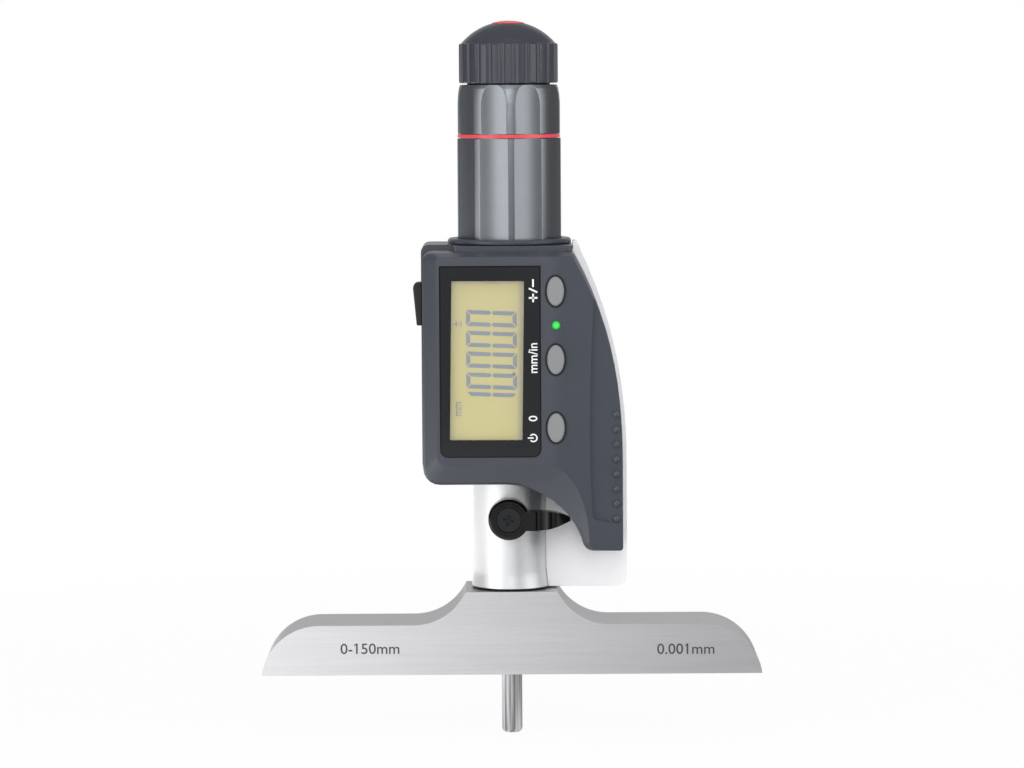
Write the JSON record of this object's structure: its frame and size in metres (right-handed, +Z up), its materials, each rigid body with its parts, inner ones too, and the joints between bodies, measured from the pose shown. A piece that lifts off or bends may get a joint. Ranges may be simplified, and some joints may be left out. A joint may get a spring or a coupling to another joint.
{
  "type": "digital depth gauge",
  "caption": "Digital depth micrometer: flat T-shaped base, slim rod that a fluted thimble screws down through it, ratchet cap, lock lever, and a housing with display and buttons.",
  "frame": {"origin": "on the spindle's axis, in the plane of the measuring face under the base", "axes": "+Z runs up the spindle towards the ratchet cap, +X points to the right of someone who reads the display, and the display faces -Y"},
  "size_m": [0.1016, 0.0304, 0.1453],
  "materials": {
    "ground_steel": "ground and lapped steel with a fine grain",
    "satin_steel": "satin chrome",
    "polished_steel": "ground and polished rod",
    "bronze": "turned bronze",
    "black_steel": "blackened steel",
    "frame_paint": "off-white powder coat",
    "housing_plastic": "dark blue-grey moulding, fine satin texture",
    "window": "clear over the display with a black printed border",
    "lcd_glass": "yellowish display with blue-grey segments",
    "circuit_board": "green laminate",
    "black_rubber": "smooth black rubber",
    "green_light": "green status light",
    "black_plastic": "moulded connector body",
    "gold_contact": "gold-plated spring contact",
    "anodised_aluminium": "dark grey anodised, fine turned finish",
    "red_plastic": "signal red",
    "cap_plastic": "dark grey moulding",
    "black_gloss": "glossy black",
    "button_plastic": "grey satin button"
  },
  "bodies": {
    "gauge_body": {"base": "ground_steel", "rod_bush": "bronze", "stem_sleeve": "satin_steel", "base_set_screws": "black_steel", "frame_plate": "frame_paint", "inner_sleeve": "satin_steel", "screw_nut": "bronze", "adjusting_nut": "black_steel", "front_shell": "housing_plastic", "rear_shell": "housing_plastic", "collar_ring": "housing_plastic", "display_window": "window", "lcd_panel": "lcd_glass", "contact_strips": "black_rubber", "main_board": "circuit_board", "button_switches": "satin_steel", "button_seals": "black_rubber", "light_pipe": "green_light", "data_connector": "black_plastic", "battery_cell": "satin_steel", "battery_contacts": "gold_contact", "encoder_stator": "circuit_board", "shell_screws": "black_steel", "lock_screw": "black_steel", "lock_pin": "bronze"},
    "encoder_rotor": {"encoder_rotor": "circuit_board"},
    "spindle_group": {"spindle": "ground_steel", "thimble": "anodised_aluminium", "red_ring": "red_plastic", "thimble_nut": "black_steel", "measuring_rod": "polished_steel", "rod_nuts": "black_steel", "ratchet_wheel": "satin_steel", "ratchet_spring": "satin_steel"},
    "speeder": {"speeder_cap": "cap_plastic", "cap_insert": "red_plastic"},
    "lock_lever": {"lock_lever": "black_gloss"},
    "button_tol": {"button_tol": "button_plastic"},
    "button_inc": {"button_inc": "button_plastic"},
    "button_set": {"button_set": "button_plastic"},
    "battery_seal": {"battery_seal": "black_rubber"},
    "battery_cap": {"battery_cap": "cap_plastic"},
    "port_cover": {"port_cover": "black_rubber"}
  },
  "joints": [
    {"name": "spindle_turn", "type": "hinge", "parent": "gauge_body", "child": "encoder_rotor", "pos_m": [0, 0, 0.05], "axis": [0, 0, 1], "range_deg": [-8524, 9475]},
    {"name": "spindle_feed", "type": "slide", "parent": "encoder_rotor", "child": "spindle_group", "axis": [0, 0, 1], "range_m": [-0.01184, 0.01316]},
    {"name": "ratchet_turn", "type": "hinge", "parent": "spindle_group", "child": "speeder", "pos_m": [0, 0, 0.122], "axis": [0, 0, 1], "continuous": true},
    {"name": "lock_lever_turn", "type": "hinge", "parent": "gauge_body", "child": "lock_lever", "pos_m": [-0.00045, 0, 0.03195], "axis": [0, 1, 0], "range_deg": [0, 55]},
    {"name": "button_tol_press", "type": "slide", "parent": "gauge_body", "child": "button_tol", "axis": [0, 1, 0], "range_m": [0, 0.0004], "stiffness_N_per_m": 350},
    {"name": "button_inc_press", "type": "slide", "parent": "gauge_body", "child": "button_inc", "axis": [0, 1, 0], "range_m": [0, 0.0004], "stiffness_N_per_m": 350},
    {"name": "button_set_press", "type": "slide", "parent": "gauge_body", "child": "button_set", "axis": [0, 1, 0], "range_m": [0, 0.0004], "stiffness_N_per_m": 350},
    {"name": "battery_cover_lift", "type": "slide", "parent": "gauge_body", "child": "battery_seal", "axis": [0, 1, 0], "range_m": [0, 0.008]},
    {"name": "battery_cover_turn", "type": "hinge", "parent": "battery_seal", "child": "battery_cap", "pos_m": [0.015, 0.0125, 0.05], "axis": [0, 1, 0], "range_deg": [-90, 0]},
    {"name": "port_cover_pull", "type": "slide", "parent": "gauge_body", "child": "port_cover", "axis": [-1, 0, 0], "range_m": [0, 0.006]}
  ],
  "couplings": [
    {"joint": "spindle_turn", "follows": "spindle_feed", "rad_per_m": 12566}
  ]
}
